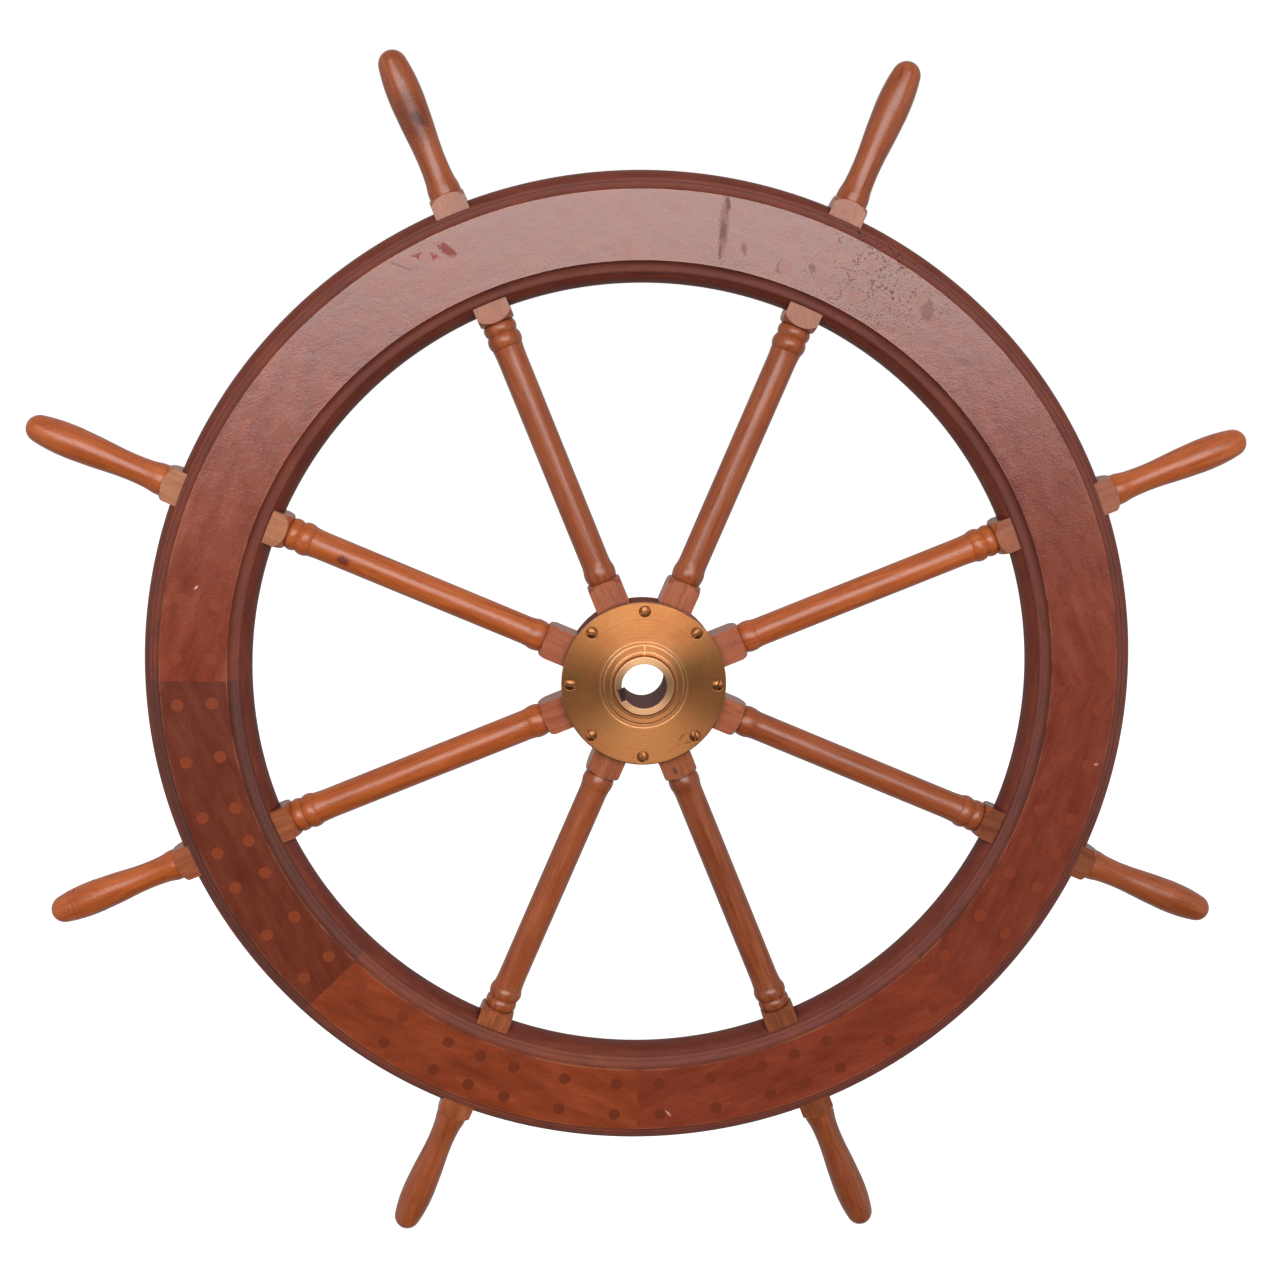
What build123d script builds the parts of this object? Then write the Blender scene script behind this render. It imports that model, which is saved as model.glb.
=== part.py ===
from build123d import *
import os
from math import asin, cos, pi, radians, sin, sqrt, tan

# A wooden ship's steering wheel off its shaft: eight turned spokes with handles, a rim built
# up of felloes between two moulded facing rings, and a brass hub with a keyed bore.
# Millimetres. The origin is the wheel's centre, the wheel's axis is Y, its front faces -Y and
# +Z is up. An angle on the wheel runs from +X towards +Z.

# Wheel
spoke_count = 8
rim_radius = 416.5              # middle of the rim
king_index = 4                  # the spoke that is grooved, so that a hand can find it

# Spokes: square blocks and turned lengths of one square stick
block_size = 31.75              # side of the square blocks
shoulder_length = 8.5           # how far a block's corners are turned away at its ends
shoulder_radius = 14.2          # where the turning starts, at the block's end
hub_block_stand_out = 24.6      # the hub's square stands this far out of the plate
block_stand_in = 11.0           # the rim's square stands this far out of the rim, inwards
block_stand_out = 11.5          # and this far outwards
tenon = 5.0                     # length that a turned stretch runs on inside its block
shaft_radius = 13.6
bead_rise = 2.25                # larger bead by the rim, above the shaft
bead_length = 13.0
ring_rise = 1.75                # smaller bead between it and the block
ring_length = 10.0
hub_bead_rise = 1.5
hub_bead_length = 14.0
groove_rise = 0.2               # bottom of the grooves beside the beads, above the shaft
flare_rise = 0.65               # the shaft widens by this much towards the rim's bead
flare_length = 16.0
cuff_rise = 0.4                 # and by this much next to the hub's bead
cuff_length = 5.5
grip_length = 132.0             # the handle, from the block to its tip
grip_root_radius = 14.9
grip_neck_radius = 12.5
grip_swell_radius = 15.65
grip_widest_share = 0.7         # of the length, where the handle is widest
dome_share = 0.83               # the end dome's radius, of the handle's at its widest
king_shaft_radius = 14.5
king_swell_radius = 15.95
king_grooves = (24.0, 29.5)     # distances of the two grooves from the king spoke's tip
king_groove_width = 2.4
king_groove_depth = 0.7

# Rim: felloes between the blocks, with a facing ring on each side
face_width = 61.5               # the flat between the two mouldings
moulding_width = 10.75          # bead, quirk and cove on each side of it
nose_depth = 8.0                # bulge of the felloe's rounded edge beyond the facing
facing_thickness = 9.0
bead_height = 3.2               # small bead at the facing's edge, next to the felloe
quirk_depth = 0.7
quirk_width = 0.8

# Screws that hold the facings, and the wooden plugs over them
row_offset = 16.0               # each row's distance from the middle of the rim
screw_angles = (-19.5, -12.2, -4.9, 0.0, 4.9, 12.2, 19.5)
plug_radius = 5.75
plug_thickness = 4.0
rim_screw_head_radius = 4.2
rim_screw_shank_radius = 2.1
rim_screw_cover = 3.0           # the tip stops this far short of the wheel's middle plane
rim_screw_slot = (1.2, 1.1)     # width and depth

# Hub: a wooden nave in two halves between a brass flange and a brass back plate
plate_radius = 77.0
plate_thickness = 6.0
plate_edge_round = 0.9
nave_set_back = 1.6             # the nave is this much smaller in radius than the plate
front_skin = 8.0                # nave wood in front of the spokes' blocks
back_skin = 3.0                 # and behind them
back_plate_set_back = 4.0
back_plate_thickness = 4.0
bore_radius = 21.0
sleeve_wall = 9.0
boss_end_wall = 6.3             # wall at the boss's end face
boss_cone_wall = 8.2            # and at the foot of its cone
boss_height = 7.4
tier_wall = 10.4                # second step, measured from the bore
tier_height = 4.2
collar_wall = 16.3              # first step, measured from the bore
collar_height = 1.7
scribed_gap = 3.6               # scribed line's distance out from the collar
scribed_width = 0.8
keyway_width = 12.0
keyway_depth = 4.0              # into the wall from the bore
index_width = 1.2               # filed mark across both steps, at the top
index_depth = 0.5

# Hub screws, raised countersunk heads
hub_screw_edge = 8.0            # centre of each screw to the plate's edge
hub_screw_head_radius = 5.6
hub_screw_dome = 2.0
hub_screw_shank_radius = 3.0
hub_screw_cover = 2.0           # the tip stops this far short of the wheel's middle plane
hub_screw_slot = (1.6, 1.7)
first_slot_turn = 20.0          # way that the first slot points
next_slot_turn = 67.0           # each slot lies this much further round than the last

step_angle = 360.0 / spoke_count
half_step = step_angle / 2
king_angle = half_step + king_index * step_angle
half_block = block_size / 2
half_face = face_width / 2
half_facing = half_face + moulding_width
half_felloe = half_facing + nose_depth
face_y = half_block + facing_thickness
hub_block_end = plate_radius + hub_block_stand_out
rim_block_start = rim_radius - half_felloe - block_stand_in
rim_block_end = rim_radius + half_felloe + block_stand_out
tip_radius = rim_block_end + grip_length
widest_place = rim_block_end + grip_widest_share * grip_length
nave_front = half_block + front_skin
nave_back = half_block + back_skin
hub_front = nave_front + plate_thickness
hub_back = nave_back + back_plate_thickness
nave_radius = plate_radius - nave_set_back
back_plate_radius = plate_radius - back_plate_set_back
sleeve_radius = bore_radius + sleeve_wall
diagonal = sqrt(0.5)            # sine and cosine of 45 degrees


def turned(shape, angle):
    """The shape, made about the +X axis, swung to an angle on the wheel."""
    return shape.rotate(Axis.Y, -angle)


def to_back(shape):
    """A front piece turned over to the wheel's back."""
    return shape.rotate(Axis.X, 180)


def arc(start, middle, end):
    return ThreePointArc(start, middle, end)


def chain(points):
    """Straight edges from point to point."""
    return [Line(a, b) for a, b in zip(points, points[1:])]


def disc(radius, thickness, y):
    """A plain disc about the wheel's axis, its middle at y."""
    return Pos(0, y, 0) * Rot(90, 0, 0) * Cylinder(radius, thickness)


# ---------------------------------------------------------------- screws and plugs
def screw(head_radius, dome, shank_radius, length):
    """A countersunk wood screw along +Y, the rim of its head at the origin."""
    cone = head_radius - shank_radius
    tip = 2 * shank_radius
    edges = chain([(head_radius, 0), (shank_radius, cone), (shank_radius, length - tip), (0, length)])
    edges += [Line((0, length), (0, -dome))]
    if dome:
        sphere = (head_radius ** 2 + dome ** 2) / (2 * dome)
        half_way = head_radius / 2
        height = sqrt(sphere ** 2 - half_way ** 2) - (sphere - dome)
        edges += [arc((0, -dome), (half_way, -height), (head_radius, 0))]
    else:
        edges += [Line((0, 0), (head_radius, 0))]
    return revolve(make_face(edges), Axis.Y)


def slotted(body, head_radius, dome, slot):
    """The screw with a driver's slot across its head."""
    width, depth = slot
    clear = 1.0
    return body - Pos(0, (depth - clear) / 2 - dome, 0) * Box(width, depth + clear, 3 * head_radius)


def rim_screw():
    seat = face_y - plug_thickness
    body = screw(rim_screw_head_radius, 0, rim_screw_shank_radius, seat - rim_screw_cover)
    return Pos(0, -seat, 0) * body


def slotted_rim_screw():
    seat = face_y - plug_thickness
    body = screw(rim_screw_head_radius, 0, rim_screw_shank_radius, seat - rim_screw_cover)
    return Pos(0, -seat, 0) * slotted(body, rim_screw_head_radius, 0, rim_screw_slot)


def plug():
    return disc(plug_radius, plug_thickness, plug_thickness / 2 - face_y)


def at_rim_places(shape):
    """The shape at each screw's place in one facing."""
    radii = [rim_radius + side * row_offset for side in (-1, 1)]
    return [turned(Pos(radius, 0, 0) * shape, angle) for radius in radii for angle in screw_angles]


def whole_ring(shapes):
    """A front facing's pieces, repeated for each spoke."""
    return [turned(shape, half_step + k * step_angle) for k in range(spoke_count) for shape in shapes]


# ---------------------------------------------------------------- rim
def facing_edge(side):
    """A facing's moulded edge from the felloe to the flat: bead, quirk and cove."""
    def at(half_width, y):
        return (rim_radius + side * half_width, -y)

    crest = half_facing - bead_height
    bead_top = half_block + bead_height
    bead_middle = at(crest + bead_height * diagonal, half_block + bead_height * diagonal)
    low = bead_top - quirk_depth
    cove_start = crest - quirk_width
    cove_width = cove_start - half_face
    cove_middle = at(cove_start - cove_width * diagonal, face_y - (face_y - low) * diagonal)
    edges = [arc(at(half_facing, half_block), bead_middle, at(crest, bead_top))]
    edges += chain([at(crest, bead_top), at(crest, low), at(cove_start, low)])
    edges += [arc(at(cove_start, low), cove_middle, at(half_face, face_y))]
    return edges


def facing():
    """One front facing, centred on the +X axis, with its screw and plug holes."""
    edges = facing_edge(-1) + facing_edge(1)
    edges += [Line((rim_radius - half_facing, -half_block), (rim_radius + half_facing, -half_block))]
    edges += [Line((rim_radius - half_face, -face_y), (rim_radius + half_face, -face_y))]
    ring = revolve(make_face(edges), Axis.Y, revolution_arc=step_angle)
    return turned(ring, half_step) - at_rim_places(plug()) - at_rim_places(rim_screw())


def felloe():
    """One felloe, centred on the +X axis, between the blocks of two spokes."""
    inside = rim_radius - half_facing
    outside = rim_radius + half_facing
    edges = [Line((inside, half_block), (outside, half_block))]
    edges += [Line((outside, -half_block), (inside, -half_block))]
    edges += [arc((outside, half_block), (rim_radius + half_felloe, 0), (outside, -half_block))]
    edges += [arc((inside, -half_block), (rim_radius - half_felloe, 0), (inside, half_block))]
    ring = turned(revolve(make_face(edges), Axis.Y, revolution_arc=step_angle), half_step)
    stick = Pos(rim_radius, 0, 0) * Box(4 * half_felloe, 2 * block_size, block_size)
    body = ring - turned(stick, half_step) - turned(stick, -half_step)
    front = [turned(hole, half_step) for hole in at_rim_places(rim_screw())]
    front += [turned(hole, -half_step) for hole in at_rim_places(rim_screw())]
    return body - front - [to_back(hole) for hole in front]


# ---------------------------------------------------------------- spokes
def block(start, end, round_start=True):
    """A square length of the spoke, its free ends turned to rounded shoulders."""
    corner = half_block / diagonal + 0.5
    drop = corner - shoulder_radius
    in_share, up_share = 0.40, 0.58             # the shoulder's middle, of its length and of its drop
    out_middle = (end - in_share * shoulder_length, shoulder_radius + up_share * drop)
    in_middle = (start + in_share * shoulder_length, shoulder_radius + up_share * drop)
    edges = [arc((end - shoulder_length, corner), out_middle, (end, shoulder_radius))]
    edges += chain([(end, shoulder_radius), (end, 0), (start, 0)])
    if round_start:
        edges += [Line((start, 0), (start, shoulder_radius))]
        edges += [arc((start, shoulder_radius), in_middle, (start + shoulder_length, corner))]
        edges += [Line((start + shoulder_length, corner), (end - shoulder_length, corner))]
    else:
        edges += chain([(start, 0), (start, corner), (end - shoulder_length, corner)])
    envelope = revolve(make_face(edges), Axis.X)
    return envelope & Pos((start + end) / 2, 0, 0) * Box(end - start, block_size, block_size)


def shaft(radius):
    """The turned length between the hub's block and the rim's, with its beads."""
    groove = radius + groove_rise
    bead_end = hub_block_end + hub_bead_length
    cuff_end = bead_end + cuff_length
    ring_start = rim_block_start - ring_length
    bead_start = ring_start - bead_length
    flare_start = bead_start - flare_length
    tenon_start = hub_block_end - tenon
    tenon_end = rim_block_start + tenon
    edges = chain([(tenon_end, 0), (tenon_start, 0), (tenon_start, groove), (hub_block_end, groove)])
    edges += [arc((hub_block_end, groove), ((hub_block_end + bead_end) / 2, radius + hub_bead_rise),
                  (bead_end, groove))]
    edges += [Line((bead_end, groove), (bead_end, radius + cuff_rise))]
    edges += [Spline((bead_end, radius + cuff_rise), (cuff_end, radius), tangents=((1, -0.2), (1, 0)))]
    edges += [Line((cuff_end, radius), (flare_start, radius))]
    edges += [Spline((flare_start, radius), (bead_start, radius + flare_rise), tangents=((1, 0), (1, 0.12)))]
    edges += [Line((bead_start, radius + flare_rise), (bead_start, groove))]
    edges += [arc((bead_start, groove), ((bead_start + ring_start) / 2, radius + bead_rise),
                  (ring_start, groove))]
    edges += [arc((ring_start, groove), ((ring_start + rim_block_start) / 2, radius + ring_rise),
                  (rim_block_start, groove))]
    edges += chain([(rim_block_start, groove), (tenon_end, groove), (tenon_end, 0)])
    return revolve(make_face(edges), Axis.X)


def grip_end(swell):
    """Radii of the arcs along the handle's side and round its dome, and the angle at which they meet."""
    dome = dome_share * swell
    reach = tip_radius - dome - widest_place
    side = (reach ** 2 + swell ** 2 - dome ** 2) / (2 * (swell - dome))
    return side, dome, asin(reach / (side - dome))


def grip(swell):
    """The handle: a slim neck, a long swelling and a domed end."""
    neck = grip_neck_radius
    # share of the handle's length, and of the way from the neck's radius to the swelling's
    waist = ((0.042, 0.71), (0.087, 0.36), (0.135, 0.14), (0.215, 0.0), (0.31, 0.09), (0.42, 0.42),
             (0.54, 0.77), (0.63, 0.95))
    points = [(rim_block_end, grip_root_radius)]
    points += [(rim_block_end + t * grip_length, neck + f * (swell - neck)) for t, f in waist]
    points += [(widest_place, swell)]
    side, dome, meet = grip_end(swell)

    def on_side(angle):
        return (widest_place + side * sin(angle), swell - side * (1 - cos(angle)))

    def on_dome(angle):
        return (tip_radius - dome * (1 - sin(angle)), dome * cos(angle))

    start = rim_block_end - tenon
    edges = chain([(tip_radius, 0), (start, 0), (start, grip_root_radius), points[0]])
    edges += [Spline(*points, tangents=((1, -0.05), (1, 0)))]
    edges += [arc(points[-1], on_side(meet / 2), on_side(meet))]
    edges += [arc(on_side(meet), on_dome((meet + pi / 2) / 2), (tip_radius, 0))]
    return revolve(make_face(edges), Axis.X)


def finger_groove(distance):
    """A fine turned groove round the king spoke's handle, that far from its tip."""
    centre = tip_radius - distance
    side, _, _ = grip_end(king_swell_radius)
    surface = king_swell_radius - side + sqrt(side ** 2 - (centre - widest_place) ** 2)
    # the cutter is a V that is the groove's width at the surface, and twice that at its back
    bottom = (centre, surface - king_groove_depth)
    back = surface + king_groove_depth
    corners = [bottom, (centre + king_groove_width, back), (centre - king_groove_width, back), bottom]
    return revolve(make_face(chain(corners)), Axis.X)


def spoke(king=False):
    """One spoke along +X, from its mitred foot on the hub's sleeve to the handle's tip."""
    reach = hub_block_end + block_size
    rise = reach * tan(radians(half_step))
    wedge = Plane.XZ * Polygon((0, 0), (reach, rise), (reach, -rise), align=None)
    foot = block(0, hub_block_end, round_start=False) & extrude(wedge, amount=half_block, both=True)
    foot -= disc(sleeve_radius, 2 * block_size, 0)
    body = foot + shaft(king_shaft_radius if king else shaft_radius)
    body += block(rim_block_start, rim_block_end)
    body += grip(king_swell_radius if king else grip_swell_radius)
    holes = [Pos(rim_radius + side * row_offset, 0, 0) * rim_screw() for side in (-1, 1)]
    body -= holes + [to_back(hole) for hole in holes]
    if king:
        body -= [finger_groove(distance) for distance in king_grooves]
    return body


# ---------------------------------------------------------------- hub
def hub_screw(seat):
    """A hub screw with its head on a plate whose outer face is that far from the middle plane."""
    body = screw(hub_screw_head_radius, hub_screw_dome, hub_screw_shank_radius, seat - hub_screw_cover)
    return Pos(0, -seat, 0) * body


def slotted_hub_screws(seat):
    """One screw for each place, its slot pointing its own way."""
    body = screw(hub_screw_head_radius, hub_screw_dome, hub_screw_shank_radius, seat - hub_screw_cover)
    body = slotted(body, hub_screw_head_radius, hub_screw_dome, hub_screw_slot)
    turns = [first_slot_turn + k * next_slot_turn for k in range(spoke_count)]
    return [Pos(0, -seat, 0) * Rot(0, turn, 0) * body for turn in turns]


def hub_places(plate, shapes):
    """One shape of the list at each hub screw's place in a plate, midway between the spokes."""
    circle = plate - hub_screw_edge
    return [turned(Pos(circle, 0, 0) * shape, k * step_angle) for k, shape in enumerate(shapes)]


def step_down(radius, top, foot):
    """The edge of a step on the hub's front: its rounded brow and its side, inwards to outwards."""
    brow = plate_edge_round
    edges = [RadiusArc((radius - brow, -top), (radius, brow - top), brow)]
    return edges + [Line((radius, brow - top), (radius, -foot))]


def hub_flange():
    """Front plate, stepped boss and bored sleeve in one brass casting."""
    end = hub_front + boss_height
    tier = hub_front + tier_height
    collar = hub_front + collar_height
    cone_radius = bore_radius + boss_cone_wall
    tier_radius = bore_radius + tier_wall
    collar_radius = bore_radius + collar_wall
    scribed_radius = collar_radius + scribed_gap
    half_scribe = scribed_width / 2
    edges = chain([(sleeve_radius, hub_back), (bore_radius, hub_back), (bore_radius, -end),
                   (bore_radius + boss_end_wall, -end), (cone_radius, -tier),
                   (tier_radius - plate_edge_round, -tier)])
    edges += step_down(tier_radius, tier, collar)
    edges += chain([(tier_radius, -collar), (collar_radius - plate_edge_round, -collar)])
    edges += step_down(collar_radius, collar, hub_front)
    edges += chain([(collar_radius, -hub_front), (scribed_radius - half_scribe, -hub_front),
                    (scribed_radius, half_scribe - hub_front), (scribed_radius + half_scribe, -hub_front),
                    (plate_radius - plate_edge_round, -hub_front)])
    edges += step_down(plate_radius, hub_front, nave_front)
    edges += chain([(plate_radius, -nave_front), (sleeve_radius, -nave_front), (sleeve_radius, hub_back)])
    body = revolve(make_face(edges), Axis.Y)
    body -= hub_places(plate_radius, [hub_screw(hub_front)] * spoke_count)
    key = Pos((bore_radius + keyway_depth) / 2, 0, 0) * Box(bore_radius + keyway_depth, 3 * end, keyway_width)
    body -= turned(key, king_angle)
    for outer, inner, top in ((collar_radius, tier_radius, collar), (tier_radius, cone_radius, tier)):
        mark = Pos((outer + inner) / 2, -top, 0) * Box(outer - inner, 2 * index_depth, index_width)
        body -= turned(mark, 90)
    return body


def back_plate():
    """Loose brass ring on the sleeve's back end, modelled as a front piece turned over."""
    middle = -nave_back - back_plate_thickness / 2
    ring = disc(back_plate_radius, back_plate_thickness, middle)
    ring -= disc(sleeve_radius, back_plate_thickness, middle)
    outer_edge = ring.edges().filter_by(GeomType.CIRCLE).group_by(SortBy.RADIUS)[-1].sort_by(Axis.Y)[0]
    ring = fillet(outer_edge, plate_edge_round)
    return to_back(ring - hub_places(back_plate_radius, [hub_screw(hub_back)] * spoke_count))


def nave_half(thickness, plate, seat):
    """A front half of the turned wooden nave, channelled for the spokes' blocks."""
    half = disc(nave_radius, thickness, -thickness / 2) - disc(sleeve_radius, 4 * thickness, 0)
    channel = Pos(plate_radius, 0, 0) * Box(2 * plate_radius, block_size, block_size)
    half -= [turned(channel, half_step + k * step_angle) for k in range(spoke_count)]
    return half - hub_places(plate, [hub_screw(seat)] * spoke_count)


# ---------------------------------------------------------------- pieces by name
def pieces():
    made = {}
    plain_spoke = spoke()
    front_facing = facing()
    back_facing = to_back(front_facing)
    plain_felloe = felloe()
    for k in range(spoke_count):
        angle = half_step + k * step_angle
        name = "king_spoke" if k == king_index else f"spoke_{k + 1}"
        made[name] = turned(spoke(king=True) if k == king_index else plain_spoke, angle)
        made[f"front_facing_{k + 1}"] = turned(front_facing, angle)
        made[f"back_facing_{k + 1}"] = turned(back_facing, angle)
        made[f"felloe_{k + 1}"] = turned(plain_felloe, angle + half_step)
    made["hub_flange"] = hub_flange()
    made["hub_back_plate"] = back_plate()
    made["nave_front"] = nave_half(nave_front, plate_radius, hub_front)
    made["nave_back"] = to_back(nave_half(nave_back, back_plate_radius, hub_back))
    made["hub_screws_front"] = Compound(hub_places(plate_radius, slotted_hub_screws(hub_front)))
    made["hub_screws_back"] = to_back(Compound(hub_places(back_plate_radius, slotted_hub_screws(hub_back))))
    made["rim_plugs_front"] = Compound(whole_ring(at_rim_places(plug())))
    made["rim_plugs_back"] = to_back(made["rim_plugs_front"])
    made["rim_screws_front"] = Compound(whole_ring(at_rim_places(slotted_rim_screw())))
    made["rim_screws_back"] = to_back(made["rim_screws_front"])
    return made


os.makedirs("parts", exist_ok=True)
for name, shape in pieces().items():
    export_step(shape, f"parts/{name}.step")
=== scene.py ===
import bpy
from math import cos, pi, radians, sin
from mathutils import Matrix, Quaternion, Vector


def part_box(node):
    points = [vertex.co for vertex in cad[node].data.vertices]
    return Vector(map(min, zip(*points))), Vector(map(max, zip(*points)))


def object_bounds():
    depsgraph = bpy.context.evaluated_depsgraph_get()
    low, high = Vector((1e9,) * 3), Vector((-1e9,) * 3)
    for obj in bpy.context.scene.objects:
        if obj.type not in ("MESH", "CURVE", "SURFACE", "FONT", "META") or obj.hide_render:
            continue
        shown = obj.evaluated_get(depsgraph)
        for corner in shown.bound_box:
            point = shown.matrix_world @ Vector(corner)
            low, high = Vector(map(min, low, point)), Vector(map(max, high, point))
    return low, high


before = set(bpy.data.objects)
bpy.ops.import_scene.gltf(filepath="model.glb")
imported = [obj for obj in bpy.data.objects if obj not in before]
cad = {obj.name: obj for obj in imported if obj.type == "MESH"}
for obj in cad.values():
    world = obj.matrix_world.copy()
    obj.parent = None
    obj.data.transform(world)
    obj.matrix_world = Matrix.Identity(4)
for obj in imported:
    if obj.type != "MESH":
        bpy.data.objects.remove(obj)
cad_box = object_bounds()

# Metres. The wheel's centre is the origin, its axis is Y and its front faces -Y. Angles are in degrees, from
# +X towards +Z, and spoke number 1 lies at half a step.
mm = 0.001
spoke_count = 8
step_angle = 360 / spoke_count
king_number = 5
spoke_tip = 0.6095
block_half = 0.015875                    # half the side of a spoke's square blocks
hub_block_end = 0.1016
rim_block = (0.356, 0.4775)              # from and to, along the spoke
rim_middle = 0.4165                      # radius of the middle of the rim's face
flat_half = 0.03075                      # half the width of the face's flat
bore_radius = 0.021
key_half = 0.006
key_floor = 0.025                        # from the axis, on the king spoke's side
ring_edges = (0.0273, 0.0314, 0.0373, 0.0409)        # end face, two steps and scribed line of the boss
index_middle, index_half = 0.0325, 0.0052            # the filed mark, along the radius
king_angle = step_angle * (king_number - 0.5)
plate_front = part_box("hub_flange")[0].y
face_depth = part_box("back_facing_1")[1].y            # the flat of the rim's face
corner_rays = 6                                      # samples that look for corners and recesses


# ---------------------------------------------------------------- small tools
def paint(hex_code):
    """A paint chip's sRGB hex value as the linear colour that a shader works in."""
    channels = [int(hex_code[i:i + 2], 16) / 255 for i in (1, 3, 5)]
    return [c / 12.92 if c <= 0.04045 else ((c + 0.055) / 1.055) ** 2.4 for c in channels] + [1.0]


def add(tree, kind, inputs=None, stops=None, **settings):
    """Adds one node, with its settings, its ramp's stops, and a value or a link for each input.

    A node given as an input is linked by its first output in use, and a hex code is painted."""
    made = tree.nodes.new(kind)
    for name, value in settings.items():
        setattr(made, name, value)
    for name, value in (inputs or {}).items():
        if isinstance(value, bpy.types.Node):
            value = next(out for out in value.outputs if out.enabled)
        if isinstance(value, bpy.types.NodeSocket):
            tree.links.new(value, made.inputs[name])
        else:
            made.inputs[name].default_value = paint(value) if isinstance(value, str) else value
    if stops:
        ramp = made.color_ramp.elements
        while len(ramp) < len(stops):
            ramp.new(0.5)
        for element, (place, hex_code) in zip(ramp, stops):
            element.position = place
            element.color = paint(hex_code)
    return made


def finish_of(name):
    """A new empty material, and its tree."""
    made = bpy.data.materials.new(name)
    made.use_nodes = True
    made.node_tree.nodes.clear()
    return made, made.node_tree


def give(node_name, material):
    """Puts a material on a CAD node."""
    mesh = cad[node_name].data
    mesh.materials.clear()
    mesh.materials.append(material)


# ---------------------------------------------------------------- wood
def turned_place(tree, angle):
    """Object coordinates turned about the wheel's axis, so that what lies at that angle lies on +X."""
    place = add(tree, "ShaderNodeTexCoord").outputs["Object"]
    return add(tree, "ShaderNodeMapping", {"Vector": place, "Rotation": (0.0, radians(angle), 0.0)})


def figure(tree, place, along, seed, width_mm, length_ratio, detail):
    """Noise drawn out along the grain, from 0 to 1: each streak is that wide, and that many times as long."""
    scale = [1 / (width_mm * mm)] * 3
    scale[along] /= length_ratio
    drawn = add(tree, "ShaderNodeVectorMath", {0: place, 1: scale, 2: (seed * 7.3, seed * 3.7, seed * 5.1)},
                operation="MULTIPLY_ADD")
    return add(tree, "ShaderNodeTexNoise",
               {"Vector": drawn, "Scale": 1.0, "Detail": detail, "Roughness": 0.55})


def marked(tree, place, colour, marks):
    """Lays knots, scars and stains over a colour, and tells how far they cover it, because they are dull too.

    Each mark is its distance along +X, its offset towards +Z, its half length and half width, all in mm, its
    turn in degrees, its hex code and how strongly it covers. Its edge wanders in steps of about 1.4 mm."""
    rough_edge = add(tree, "ShaderNodeTexNoise", {"Vector": place, "Scale": 700.0, "Detail": 3.0})
    covered = 0.0
    for along, offset, half_length, half_width, turn, hex_code, cover in marks:
        spun = add(tree, "ShaderNodeMapping",
                   {"Vector": place, "Location": (along * mm, 0.0, offset * mm),
                    "Rotation": (0.0, radians(-turn), 0.0),
                    "Scale": (half_length * mm, 1.0, half_width * mm)},
                   vector_type="TEXTURE")
        reach = add(tree, "ShaderNodeVectorMath", {0: spun}, operation="LENGTH").outputs["Value"]
        reach = add(tree, "ShaderNodeMath", {0: rough_edge, 1: 1.6, 2: reach}, operation="MULTIPLY_ADD")
        share = add(tree, "ShaderNodeMapRange", {0: reach, 1: 1.8, 2: 1.5, 3: 0.0, 4: cover})
        colour = add(tree, "ShaderNodeMix", {0: share, 6: colour, 7: hex_code}, data_type="RGBA")
        covered = add(tree, "ShaderNodeMath", {0: share, 1: covered}, operation="MAXIMUM")
    return colour, covered


def shade_and_grime_in_recesses(tree, colour, reach_mm, hex_code):
    """Painted shade, with old varnish and grime: darkens a colour in grooves, coves, corners and joints."""
    open_share = add(tree, "ShaderNodeAmbientOcclusion", {"Distance": reach_mm * mm}, samples=corner_rays)
    open_share = open_share.outputs["AO"]
    share = add(tree, "ShaderNodeMapRange", {0: open_share, 1: 0.85, 2: 0.35, 3: 0.0, 4: 0.8})
    return add(tree, "ShaderNodeMix", {0: share, 6: colour, 7: hex_code}, data_type="RGBA",
               blend_type="MULTIPLY")


def varnished(tree, colour, roughness, height, relief_mm, specular):
    """Wood under varnish: a semi-gloss film, slightly wavy, over open pores."""
    bump = add(tree, "ShaderNodeBump", {"Height": height, "Strength": 1.0, "Distance": relief_mm * mm})
    shader = add(tree, "ShaderNodeBsdfPrincipled",
                 {"Base Color": colour, "Roughness": roughness, "IOR": 1.5, "Specular IOR Level": specular,
                  "Normal": bump})
    add(tree, "ShaderNodeOutputMaterial", {"Surface": shader})


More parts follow.
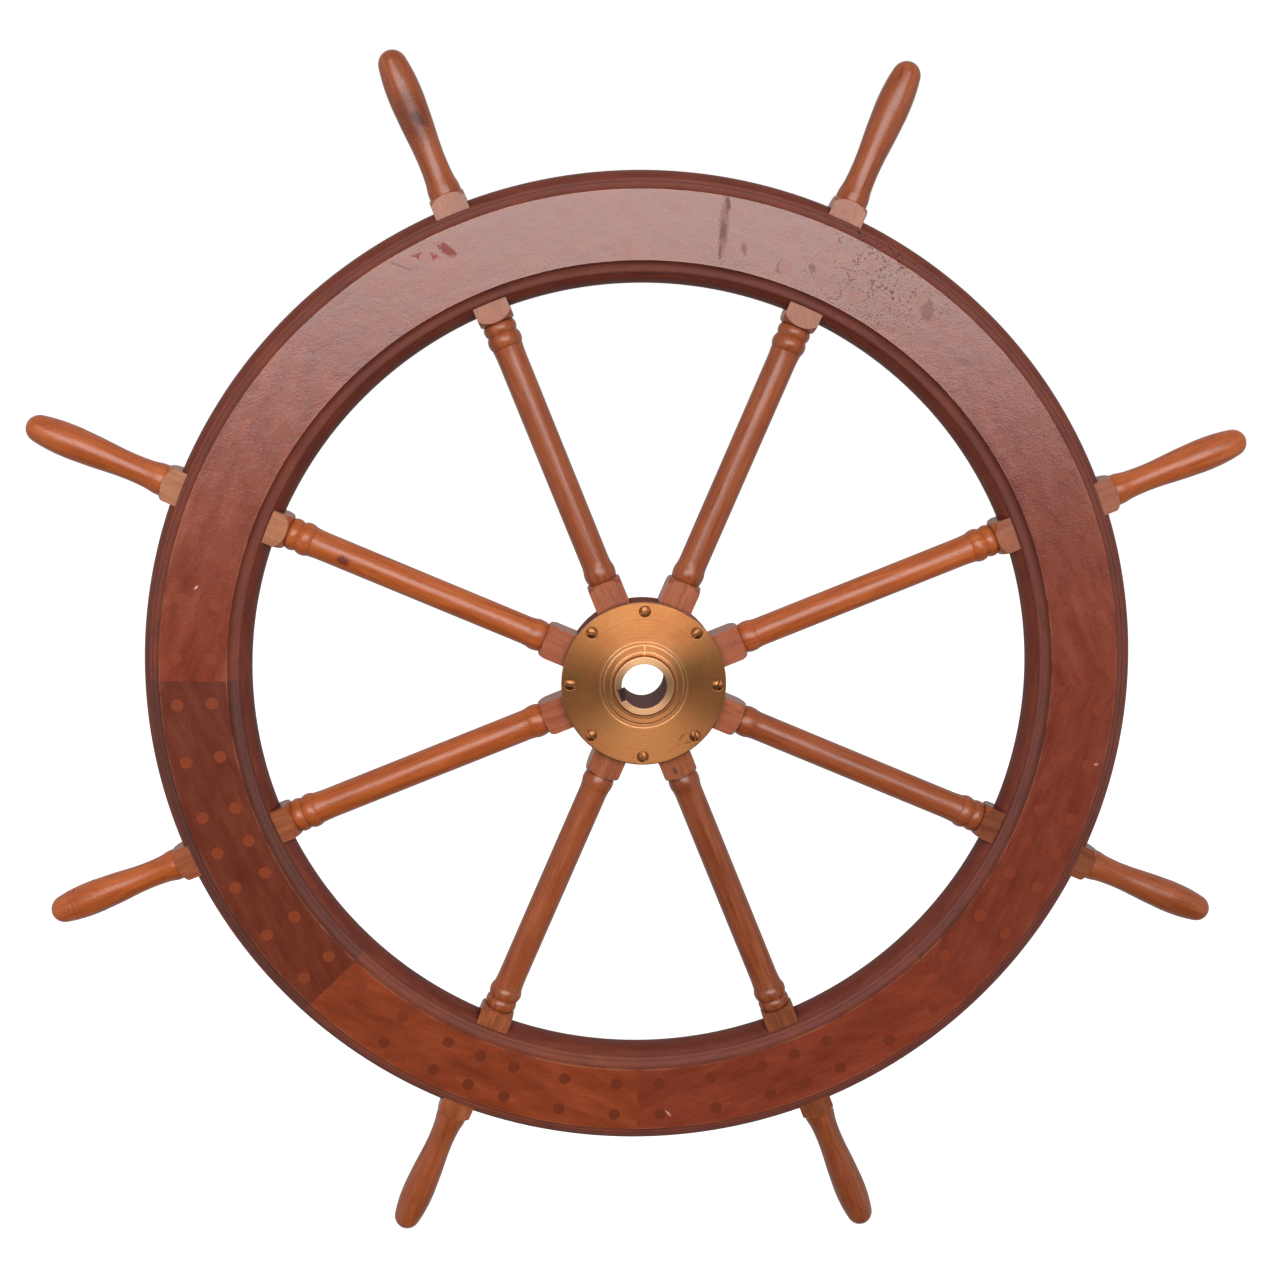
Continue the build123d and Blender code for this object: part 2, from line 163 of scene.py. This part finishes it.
def spoke_teak(name, angle, seed, tones, block_tones, hub_tones, marks):
    """Teak, turned on a lathe and wiped with satin varnish, so the turned lengths carry long soft highlights.

    The square blocks were planed, so their flats are matt, with open pores that show as short dark strokes.
    Real pores are finer than this, and are drawn 0.8 mm wide so that they show."""
    material, tree = finish_of(name)
    place = turned_place(tree, angle)
    streaks = figure(tree, place, 0, seed, 3.2, 14.0, 4.0)
    clouds = figure(tree, place, 0, seed + 20.0, 11.0, 5.0, 2.0)
    pores = figure(tree, place, 0, seed + 40.0, 0.8, 9.0, 1.0)
    pore = add(tree, "ShaderNodeMapRange", {0: pores, 1: 0.58, 2: 0.72})
    mixed = add(tree, "ShaderNodeMix", {0: 0.45, 2: streaks, 3: clouds}, data_type="FLOAT")
    tone = add(tree, "ShaderNodeMapRange", {0: mixed, 1: 0.3, 2: 0.7})
    turned = add(tree, "ShaderNodeValToRGB", {0: tone}, stops=list(zip((0.0, 0.5, 1.0), tones)))
    planed = add(tree, "ShaderNodeValToRGB", {0: tone}, stops=list(zip((0.1, 0.9), block_tones)))
    near_hub = add(tree, "ShaderNodeValToRGB", {0: tone}, stops=list(zip((0.1, 0.9), hub_tones)))

    split = add(tree, "ShaderNodeSeparateXYZ", {0: place})
    along = add(tree, "ShaderNodeMath", {0: split.outputs[0], 1: spoke_tip}, operation="DIVIDE")
    depth = add(tree, "ShaderNodeMath", {0: split.outputs[1]}, operation="ABSOLUTE")
    across = add(tree, "ShaderNodeMath", {0: split.outputs[2]}, operation="ABSOLUTE")
    proud = add(tree, "ShaderNodeMath", {0: depth, 1: across}, operation="MAXIMUM")
    flat = add(tree, "ShaderNodeMapRange", {0: proud, 1: block_half - 0.4 * mm, 2: block_half - 0.2 * mm})
    squared = add(tree, "ShaderNodeValToRGB", {0: along},
                  stops=[(0.0, "#FFFFFF"), (hub_block_end / spoke_tip, "#000000"),
                         (rim_block[0] / spoke_tip, "#FFFFFF"), (rim_block[1] / spoke_tip, "#000000")])
    squared.color_ramp.interpolation = "CONSTANT"
    flat = add(tree, "ShaderNodeMath", {0: flat, 1: squared}, operation="MULTIPLY")
    at_hub = add(tree, "ShaderNodeMapRange",
                 {0: split.outputs[0], 1: hub_block_end, 2: hub_block_end - 1 * mm})
    planed = add(tree, "ShaderNodeMix", {0: at_hub, 6: planed, 7: near_hub}, data_type="RGBA")
    colour = add(tree, "ShaderNodeMix", {0: flat, 6: turned, 7: planed}, data_type="RGBA")
    pore_share = add(tree, "ShaderNodeMapRange", {0: flat, 3: 0.3, 4: 0.55})
    pore_share = add(tree, "ShaderNodeMath", {0: pore, 1: pore_share}, operation="MULTIPLY")
    colour = add(tree, "ShaderNodeMix", {0: pore_share, 6: colour, 7: "#4A2214"}, data_type="RGBA")
    colour, covered = marked(tree, place, colour, marks)
    # painted shade and grime where the spoke's grooves, beads and blocks are closed in
    colour = shade_and_grime_in_recesses(tree, colour, 6.0, "#5A3020")

    wear = add(tree, "ShaderNodeMapRange", {0: streaks, 1: 0.3, 2: 0.7, 3: 0.25, 4: 0.36})
    roughness = add(tree, "ShaderNodeMath", {0: flat, 1: 0.03, 2: wear}, operation="MULTIPLY_ADD")
    roughness = add(tree, "ShaderNodeMath", {0: covered, 1: 0.2, 2: roughness}, operation="MULTIPLY_ADD")
    height = add(tree, "ShaderNodeMath", {0: pore, 1: -0.8, 2: streaks}, operation="MULTIPLY_ADD")
    varnished(tree, colour, roughness, height, 0.05, 0.45)
    return material


def rim_mahogany(name, angle, seed, tones, gloss, marks=(), mildew=None, dull=0.0, below_flat_darkening=0.35):
    """Mahogany, moulded and planed, stained dark red-brown, under a semi-gloss varnish with orange peel.

    The stain evens the figure out, so the grain shows as faint mottling more than as lines. Gloss is the
    specular level, and the roughness added below the face's flat. Mildew is its middle's place along +X and
    towards +Z and its reach, in mm. Dull adds to the roughness everywhere, and the last argument is how
    far all that lies below the flat is darkened."""
    specular, duller = gloss
    material, tree = finish_of(name)
    place = turned_place(tree, angle)
    bands = figure(tree, place, 2, seed, 13.0, 3.5, 4.0)
    streaks = figure(tree, place, 2, seed + 20.0, 2.6, 8.0, 3.0)
    pores = figure(tree, place, 2, seed + 40.0, 0.9, 4.0, 1.0)
    pore = add(tree, "ShaderNodeMapRange", {0: pores, 1: 0.60, 2: 0.75})
    mixed = add(tree, "ShaderNodeMix", {0: 0.2, 2: bands, 3: streaks}, data_type="FLOAT")
    tone = add(tree, "ShaderNodeMapRange", {0: mixed, 1: 0.3, 2: 0.7})
    colour = add(tree, "ShaderNodeValToRGB", {0: tone}, stops=list(zip((0.0, 0.5, 1.0), tones)))
    share = add(tree, "ShaderNodeMath", {0: pore, 1: 0.45}, operation="MULTIPLY")
    colour = add(tree, "ShaderNodeMix", {0: share, 6: colour, 7: "#3A140C"}, data_type="RGBA")
    # both corners of the flat are rubbed to bare wood in places
    level = add(tree, "ShaderNodeVectorMath", {0: place, 1: (1.0, 0.0, 1.0)}, operation="MULTIPLY")
    from_axis = add(tree, "ShaderNodeVectorMath", {0: level}, operation="LENGTH").outputs["Value"]
    off_middle = add(tree, "ShaderNodeMath", {0: from_axis, 1: rim_middle}, operation="SUBTRACT")
    off_middle = add(tree, "ShaderNodeMath", {0: off_middle}, operation="ABSOLUTE")
    corner = add(tree, "ShaderNodeMath", {0: off_middle, 1: flat_half, 2: 0.5 * mm}, operation="COMPARE")
    rubbed = add(tree, "ShaderNodeMapRange", {0: bands, 1: 0.42, 2: 0.58, 3: 0.1, 4: 0.5})
    rubbed = add(tree, "ShaderNodeMath", {0: corner, 1: rubbed}, operation="MULTIPLY")
    colour = add(tree, "ShaderNodeMix", {0: rubbed, 6: colour, 7: "#B4704C"}, data_type="RGBA")
    colour, covered = marked(tree, place, colour, marks)
    if mildew:
        # one speck to each 3 mm, in patches of 11 mm, thickest about one place
        patchy = add(tree, "ShaderNodeTexNoise",
                     {"Vector": place, "Scale": 90.0, "Detail": 3.0, "Roughness": 0.7})
        cell = add(tree, "ShaderNodeTexVoronoi", {"Vector": place, "Scale": 330.0})
        about = add(tree, "ShaderNodeMapping",
                    {"Vector": place, "Location": (mildew[0] * mm, 0.0, mildew[1] * mm),
                     "Scale": (mildew[2] * mm, 1.0, mildew[2] * mm)}, vector_type="TEXTURE")
        about = add(tree, "ShaderNodeVectorMath", {0: about}, operation="LENGTH").outputs["Value"]
        thick = add(tree, "ShaderNodeMapRange", {0: about, 1: 0.0, 2: 1.0, 3: 0.66, 4: 0.24})
        patchy = add(tree, "ShaderNodeMapRange", {0: patchy, 1: 0.2, 2: 0.65})
        thick = add(tree, "ShaderNodeMath", {0: thick, 1: patchy}, operation="MULTIPLY")
        spots = add(tree, "ShaderNodeMath", {0: thick, 1: cell}, operation="SUBTRACT")
        spots = add(tree, "ShaderNodeMapRange", {0: spots, 1: 0.0, 2: 0.25, 3: 0.0, 4: 0.75})
        colour = add(tree, "ShaderNodeMix", {0: spots, 6: colour, 7: "#4A2620"}, data_type="RGBA")
        covered = add(tree, "ShaderNodeMath", {0: covered, 1: spots}, operation="MAXIMUM")
    # painted shade and grime in the coves and quirks of the mouldings and at the joints
    colour = shade_and_grime_in_recesses(tree, colour, 8.0, "#6A4434")

    # the orange peel's bumps are 2 mm across, and a slow waviness of 12 mm comes under them
    peel = figure(tree, place, 2, seed + 60.0, 1.7, 1.0, 2.0)
    waves = figure(tree, place, 2, seed + 80.0, 12.0, 1.5, 2.0)
    height = add(tree, "ShaderNodeMath", {0: waves, 1: 2.0, 2: peel}, operation="MULTIPLY_ADD")
    wear = add(tree, "ShaderNodeMapRange", {0: bands, 1: 0.3, 2: 0.7, 3: 0.20 + dull, 4: 0.26 + dull})
    roughness = add(tree, "ShaderNodeMath", {0: covered, 1: 0.4, 2: wear}, operation="MULTIPLY_ADD")
    # the mouldings, and all else that lies below the face's flat, are duller than the flat and darker in
    # colour
    depth = add(tree, "ShaderNodeSeparateXYZ", {0: place}).outputs[1]
    depth = add(tree, "ShaderNodeMath", {0: depth}, operation="ABSOLUTE")
    moulded = add(tree, "ShaderNodeMapRange", {0: depth, 1: face_depth - 0.2 * mm, 2: face_depth - 0.5 * mm})
    roughness = add(tree, "ShaderNodeMath", {0: moulded, 1: duller, 2: roughness},
                    operation="MULTIPLY_ADD")
    below_flat_share = add(tree, "ShaderNodeMath", {0: moulded, 1: below_flat_darkening}, operation="MULTIPLY")
    colour = add(tree, "ShaderNodeMix", {0: below_flat_share, 6: colour, 7: "#8A7068"}, data_type="RGBA",
                 blend_type="MULTIPLY")
    varnished(tree, colour, roughness, height, 0.1, specular)
    return material


def plug_mahogany(name):
    """Mahogany plugs, cut from offcuts and varnished with the rim, more orange than it to the left and darker
    below. Each plug is of one tone, because the batches change over 40 mm."""
    material, tree = finish_of(name)
    place = add(tree, "ShaderNodeTexCoord").outputs["Object"]
    split = add(tree, "ShaderNodeSeparateXYZ", {0: place})
    batch = add(tree, "ShaderNodeTexNoise", {"Vector": place, "Scale": 25.0, "Detail": 0.0})
    tone = add(tree, "ShaderNodeMapRange", {0: batch, 1: 0.3, 2: 0.7, 3: -0.12, 4: 0.12})
    tone = add(tree, "ShaderNodeMath", {0: tone, 1: split.outputs[0]}, operation="ADD")
    colour = add(tree, "ShaderNodeMapRange", {0: tone, 1: -0.5, 2: 0.5})
    colour = add(tree, "ShaderNodeValToRGB", {0: colour},
                 stops=[(0.1, "#80391F"), (0.45, "#7C3822"), (0.9, "#79341F")])
    below = add(tree, "ShaderNodeMapRange", {0: split.outputs[2], 1: -0.28, 2: -0.36, 3: 0.0, 4: 0.8})
    colour = add(tree, "ShaderNodeMix", {0: below, 6: colour, 7: "#622816"}, data_type="RGBA")
    peel = figure(tree, place, 2, 9.5, 2.0, 1.0, 1.0)
    varnished(tree, colour, 0.24, peel, 0.03, 0.5)
    return material


# ---------------------------------------------------------------- brass
def turned_brass(name, dark, light, worn_and_highlight, roughness, stains=()):
    """Brass, turned on a lathe and browned with age.

    The tool marks run round the axis, about 1 mm apart so that they show, and light spreads across them, so
    the face has bright and dark sectors. Clouds of tarnish are 30 mm across, specks 2 mm.
    The boss's end is rubbed bright, and painted highlights, rings of lighter colour, lie on the edges of
    its end face and its two steps and on its scribed line."""
    material, tree = finish_of(name)
    place = add(tree, "ShaderNodeTexCoord").outputs["Object"]
    normal = add(tree, "ShaderNodeNewGeometry").outputs["Normal"]
    round_it = add(tree, "ShaderNodeVectorMath", {0: (0.0, 1.0, 0.0), 1: place}, operation="CROSS_PRODUCT")
    across = add(tree, "ShaderNodeVectorMath", {0: round_it, 1: normal}, operation="CROSS_PRODUCT")
    from_axis = add(tree, "ShaderNodeVectorMath", {0: round_it}, operation="LENGTH").outputs["Value"]
    pitch = add(tree, "ShaderNodeMath", {0: from_axis, 1: 900.0}, operation="MULTIPLY")
    marks = add(tree, "ShaderNodeTexNoise", {"W": pitch, "Scale": 1.0, "Detail": 3.0}, noise_dimensions="1D")
    clouds = add(tree, "ShaderNodeTexNoise",
                 {"Vector": place, "Scale": 30.0, "Detail": 5.0, "Roughness": 0.6})
    specks = add(tree, "ShaderNodeTexNoise", {"Vector": place, "Scale": 420.0, "Detail": 2.0})
    mixed = add(tree, "ShaderNodeMix", {0: 0.6, 2: marks, 3: clouds}, data_type="FLOAT")
    tone = add(tree, "ShaderNodeMapRange", {0: mixed, 1: 0.32, 2: 0.68})
    colour = add(tree, "ShaderNodeValToRGB", {0: tone}, stops=[(0.0, dark), (1.0, light)])
    speck = add(tree, "ShaderNodeMapRange", {0: specks, 1: 0.66, 2: 0.74, 3: 0.0, 4: 0.45})
    colour = add(tree, "ShaderNodeMix", {0: speck, 6: colour, 7: dark}, data_type="RGBA")
    colour, stained = marked(tree, turned_place(tree, 0.0), colour, stains)
    # the boss's end is rubbed by its nut
    split = add(tree, "ShaderNodeSeparateXYZ", {0: place})
    end = add(tree, "ShaderNodeMapRange",
              {0: split.outputs[1], 1: plate_front + 1.5 * mm, 2: plate_front + 0.5 * mm})
    rubbed = add(tree, "ShaderNodeMath", {0: end, 1: 0.5}, operation="MULTIPLY")
    colour = add(tree, "ShaderNodeMix", {0: rubbed, 6: colour, 7: worn_and_highlight}, data_type="RGBA")
    # painted highlights: a ring of lighter colour at each edge of the boss's steps and at its scribed line
    for edge in ring_edges:
        painted_edge_highlight = add(tree, "ShaderNodeMath", {0: from_axis, 1: edge, 2: 0.45 * mm}, operation="COMPARE")
        painted_edge_highlight = add(tree, "ShaderNodeMath", {0: painted_edge_highlight, 1: 0.8}, operation="MULTIPLY")
        colour = add(tree, "ShaderNodeMix", {0: painted_edge_highlight, 6: colour, 7: worn_and_highlight}, data_type="RGBA")

    # the index mark at the top was filed through the browned skin
    filed = add(tree, "ShaderNodeVectorMath", {0: place, 1: (0.0, 0.0, index_middle)}, operation="SUBTRACT")
    filed = add(tree, "ShaderNodeVectorMath", {0: filed, 1: (1 / (0.9 * mm), 0.0, 1 / index_half)},
                operation="MULTIPLY")
    filed = add(tree, "ShaderNodeVectorMath", {0: filed}, operation="ABSOLUTE")
    filed = add(tree, "ShaderNodeSeparateXYZ", {0: filed})
    filed = add(tree, "ShaderNodeMath", {0: filed.outputs[0], 1: filed.outputs[2]}, operation="MAXIMUM")
    filed = add(tree, "ShaderNodeMath", {0: filed, 1: 1.0}, operation="LESS_THAN")
    colour = add(tree, "ShaderNodeMix", {0: filed, 6: colour, 7: "#F0C080"}, data_type="RGBA")
    # painted shade: darker brown where the brass is closed in, in grooves, round the screws and against the
    # wood
    open_share = add(tree, "ShaderNodeAmbientOcclusion", {"Distance": 2.5 * mm}, samples=corner_rays)
    open_share = open_share.outputs["AO"]
    share = add(tree, "ShaderNodeMapRange", {0: open_share, 1: 0.75, 2: 0.4, 3: 0.0, 4: 0.7})
    colour = add(tree, "ShaderNodeMix", {0: share, 6: colour, 7: "#5A3020"}, data_type="RGBA")

    # the bore and its keyway are covered with dark grease, which isn't metal
    wall = add(tree, "ShaderNodeMath", {0: from_axis, 1: bore_radius + 0.2 * mm}, operation="LESS_THAN")
    key_place = add(tree, "ShaderNodeSeparateXYZ", {0: turned_place(tree, king_angle)})
    beside = add(tree, "ShaderNodeMath", {0: key_place.outputs[2]}, operation="ABSOLUTE")
    beside = add(tree, "ShaderNodeMath", {0: beside, 1: key_half + 0.1 * mm}, operation="LESS_THAN")
    deep = add(tree, "ShaderNodeMath", {0: key_place.outputs[0], 1: key_floor + 0.1 * mm},
               operation="LESS_THAN")
    ahead = add(tree, "ShaderNodeMath", {0: key_place.outputs[0], 1: 0.0}, operation="GREATER_THAN")
    key = add(tree, "ShaderNodeMath", {0: beside, 1: deep}, operation="MULTIPLY")
    key = add(tree, "ShaderNodeMath", {0: key, 1: ahead}, operation="MULTIPLY")
    greasy = add(tree, "ShaderNodeMath", {0: wall, 1: key}, operation="MAXIMUM")
    colour = add(tree, "ShaderNodeMix", {0: greasy, 6: colour, 7: "#6A3E34"}, data_type="RGBA")
    metallic = add(tree, "ShaderNodeMath", {0: 1.0, 1: greasy}, operation="SUBTRACT")

    dulled = add(tree, "ShaderNodeMapRange",
                 {0: clouds, 1: 0.3, 2: 0.7, 3: roughness + 0.05, 4: roughness - 0.05})
    dulled = add(tree, "ShaderNodeMath", {0: greasy, 1: 0.5, 2: dulled}, operation="MULTIPLY_ADD")
    dulled = add(tree, "ShaderNodeMath", {0: stained, 1: 0.1, 2: dulled}, operation="MULTIPLY_ADD")
    rounded = add(tree, "ShaderNodeBevel", {"Radius": 0.6 * mm}, samples=corner_rays)
    bump = add(tree, "ShaderNodeBump",
               {"Height": marks, "Strength": 1.0, "Distance": 0.008 * mm, "Normal": rounded})
    shader = add(tree, "ShaderNodeBsdfPrincipled",
                 {"Base Color": colour, "Metallic": metallic, "Roughness": dulled, "Anisotropic": 0.65,
                  "Tangent": across, "Normal": bump})
    add(tree, "ShaderNodeOutputMaterial", {"Surface": shader})
    return material


# ---------------------------------------------------------------- every node gets its finish
def on_face(facing, radius_mm, polar, half_length, half_width, turn, hex_code, cover):
    """A mark on the facing with that number, at a polar place, its length along the radius when turn is 0."""
    swing = polar - step_angle * (facing - 0.5)
    along = radius_mm * cos(radians(swing))
    offset = radius_mm * sin(radians(swing))
    return (along, offset, half_length, half_width, swing + turn, hex_code, cover)


# tones run from the dark streaks to the light ones
dark_teak = ("#6A3014", "#803E20", "#92502C")
teak = ("#7A3718", "#8F4725", "#9F5530")
golden_teak = ("#8A421A", "#A55023", "#B86230")
block_teak = ("#804022", "#9E5834")
dark_block_teak = ("#643018", "#844628")
pale_block_teak = ("#8E4C28", "#AE6E42")
hub_teak = ("#8A4226", "#A65A36")
spoke_tones = {1: golden_teak, 4: golden_teak, 5: golden_teak, 7: dark_teak}
block_tones = {4: pale_block_teak, 7: dark_block_teak, 8: dark_block_teak}
hub_block_tones = {6: block_teak, 7: block_teak}
spoke_marks = {
    3: [(545, -3, 9, 5, 20, "#2A100A", 0.9), (549, 0, 26, 14, 0, "#5A2412", 0.6)],
    4: [(300, 3, 7, 5, 0, "#5A1C10", 0.8)],
    7: [(92, -4, 4, 2.5, 0, "#3A1A10", 0.8)],
}
felloe_tones = ("#622617", "#74311F", "#823C26")
face_tones = {
    1: ("#67291A", "#77321F", "#833B26"),
    2: ("#6A2B1C", "#783421", "#833C28"),
    3: ("#6B2B1B", "#79341F", "#853D28"),
    4: ("#6C2C1A", "#7E341D", "#8C4026"),
    5: ("#5A2416", "#662C1B", "#703522"),
    6: ("#6E2E17", "#80371C", "#8E4224"),
    7: ("#692A18", "#79321E", "#853C25"),
    8: ("#63281A", "#72301F", "#7D3826"),
}
face_marks = {
    2: [  # a dark streak in four lengths, then smudges and a stain
        on_face(2, 440, 81, 8, 2.6, 6, "#4A2420", 0.75),
        on_face(2, 417, 81, 11, 3.4, 6, "#4A2420", 0.75),
        on_face(2, 400, 81, 9, 1.6, 6, "#4A2420", 0.7),
        on_face(2, 420, 81, 30, 5, 6, "#6A342A", 0.4),
        on_face(2, 405, 78, 6, 3, 20, "#6A342A", 0.5),
        on_face(2, 399, 73, 7, 4, 0, "#6A342A", 0.5),
        on_face(2, 408, 69, 5, 3, 60, "#6A342A", 0.5),
        on_face(2, 428, 54, 12, 7, 40, "#5A2C24", 0.4)],
    3: [  # a red scar in two lengths and a scratch
        on_face(3, 434, 117.3, 13, 3.6, 62, "#8A2A18", 0.9),
        on_face(3, 431, 114.7, 10, 4.6, 36, "#7A2216", 0.9),
        on_face(3, 436, 120.3, 15, 0.8, 40, "#5A2A20", 0.5)],
    4: [on_face(4, 420, 168, 3, 1.0, 60, "#D8B0A0", 0.8)],
    7: [on_face(7, 432, 274, 4, 1.0, 40, "#C89A80", 0.7)],
    8: [on_face(8, 440, 350, 2.5, 1.0, 20, "#C89A80", 0.7)],
}
face_mildew = {2: (435, -48, 100)}
plate_stains = [
    (36, -50, 6, 1.5, 55, "#84482A", 0.8),
    (42, -55, 4, 1.5, 10, "#84482A", 0.7),
    (27, -62, 5, 3, 30, "#9A5A30", 0.5),
    (33, -57, 3, 2, 80, "#8A4A28", 0.5),
    (-55, -12, 9, 6, 0, "#94603A", 0.4),
]
face_gloss = (0.55, 0.5)
inner_gloss = (0.3, 0.32)


def dress_the_wood():
    for k in range(1, spoke_count + 1):
        angle = step_angle * (k - 0.5)
        spoke = "king_spoke" if k == king_number else f"spoke_{k}"
        give(spoke,
             spoke_teak(f"varnished_teak_{k}", angle, k, spoke_tones.get(k, teak),
                        block_tones.get(k, block_teak), hub_block_tones.get(k, hub_teak),
                        spoke_marks.get(k, ())))
        give(f"front_facing_{k}",
             rim_mahogany(f"varnished_mahogany_front_{k}", angle, k + 0.1, face_tones[k], face_gloss,
                          face_marks.get(k, ()), face_mildew.get(k)))
        give(f"back_facing_{k}",
             rim_mahogany(f"varnished_mahogany_back_{k}", angle, k + 0.2, face_tones[k], face_gloss))
        give(f"felloe_{k}",
             rim_mahogany(f"varnished_mahogany_felloe_{k}", angle + step_angle / 2, k + 0.3, felloe_tones,
                          inner_gloss))
    for half in ("front", "back"):
        give(f"nave_{half}",
             rim_mahogany(f"varnished_mahogany_nave_{half}", 0.0, 9.0, felloe_tones, inner_gloss,
                          dull=0.3, below_flat_darkening=0.0))
        give(f"rim_plugs_{half}", plug_mahogany(f"mahogany_plugs_{half}"))


def dress_the_metal():
    brass = turned_brass("turned_brass", "#A66038", "#CC9058", "#ECC096", 0.34, plate_stains)
    give("hub_flange", brass)
    give("hub_back_plate", brass)
    screws = turned_brass("tarnished_brass", "#84502F", "#B0754A", "#C08A60", 0.42)
    for node_name in ("hub_screws_front", "hub_screws_back", "rim_screws_front", "rim_screws_back"):
        give(node_name, screws)


# ---------------------------------------------------------------- light, floor and camera
def soft_box(name, place, aim, width, height, radiance):
    """A square soft light of an even radiance, facing the point that it is aimed at."""
    data = bpy.data.lights.new(name, "AREA")
    data.shape = "RECTANGLE"
    data.size = width
    data.size_y = height
    data.energy = radiance * pi * width * height
    made = bpy.data.objects.new(name, data)
    bpy.context.scene.collection.objects.link(made)
    made.location = place
    made.rotation_euler = (Vector(aim) - Vector(place)).to_track_quat("-Z", "Y").to_euler()


def studio():
    """A room with a white wall behind the wheel, pale sides and ceiling, and a dark lower front.

    The camera sees plain white."""
    scene = bpy.context.scene
    scene.view_settings.view_transform = "Standard"
    world = bpy.data.worlds.new("white_studio")
    scene.world = world
    world.use_nodes = True
    tree = world.node_tree
    tree.nodes.clear()
    split = add(tree, "ShaderNodeSeparateXYZ", {0: add(tree, "ShaderNodeTexCoord").outputs["Generated"]})
    sideways = add(tree, "ShaderNodeMath", {0: split.outputs[0]}, operation="ABSOLUTE")
    behind = add(tree, "ShaderNodeMapRange", {0: split.outputs[1], 1: -0.1, 2: 0.5, 3: 0.07, 4: 0.6})
    sides = add(tree, "ShaderNodeMapRange", {0: sideways, 1: 0.4, 2: 0.9, 3: 0.0, 4: 0.6})
    above = add(tree, "ShaderNodeMapRange", {0: split.outputs[2], 1: 0.3, 2: 0.9, 3: 0.0, 4: 0.5})
    room = add(tree, "ShaderNodeMath", {0: behind, 1: sides}, operation="MAXIMUM")
    room = add(tree, "ShaderNodeMath", {0: room, 1: above}, operation="MAXIMUM")
    seen = add(tree, "ShaderNodeLightPath").outputs["Is Camera Ray"]
    strength = add(tree, "ShaderNodeMix", {0: seen, 2: room, 3: 1.0}, data_type="FLOAT")
    background = add(tree, "ShaderNodeBackground", {"Color": "#FFFFFF", "Strength": strength})
    add(tree, "ShaderNodeOutputWorld", {0: background})
    soft_box("front_window", (0.0, -6.0, 2.0), (0.0, 0.0, 2.0), 7.0, 3.6, 6.7)


def floor():
    """A pale floor that stays out of the wheel's reflections, so that it takes only a faint shadow."""
    lowest = cad_box[0][2] - 1 * mm
    bpy.ops.mesh.primitive_plane_add(size=60.0, location=(0.0, 0.0, lowest))
    plane = bpy.context.object
    plane.name = "floor"
    plane.visible_glossy = False
    plane.visible_diffuse = False
    material, tree = finish_of("white_floor")
    shader = add(tree, "ShaderNodeBsdfPrincipled",
                 {"Base Color": "#F0F0F0", "Roughness": 0.8, "Emission Color": "#FFFFFF",
                  "Emission Strength": 0.65})
    add(tree, "ShaderNodeOutputMaterial", {"Surface": shader})
    plane.data.materials.append(material)


def camera():
    data = bpy.data.cameras.new("camera")
    data.sensor_fit = "HORIZONTAL"
    data.angle = radians(43.91)
    made = bpy.data.objects.new("camera", data)
    bpy.context.scene.collection.objects.link(made)
    place = Vector((-0.0681, -1.4766, 0.3016))
    aim = Vector((-0.0029, 0.0, 0.0370))
    roll = Quaternion((0.0, 0.0, 1.0), radians(0.807))
    made.location = place
    made.rotation_mode = "QUATERNION"
    made.rotation_quaternion = (aim - place).to_track_quat("-Z", "Y") @ roll
    bpy.context.scene.camera = made


camera()
bpy.ops.object.select_all(action="DESELECT")
dress_the_wood()
dress_the_metal()
studio()
floor()
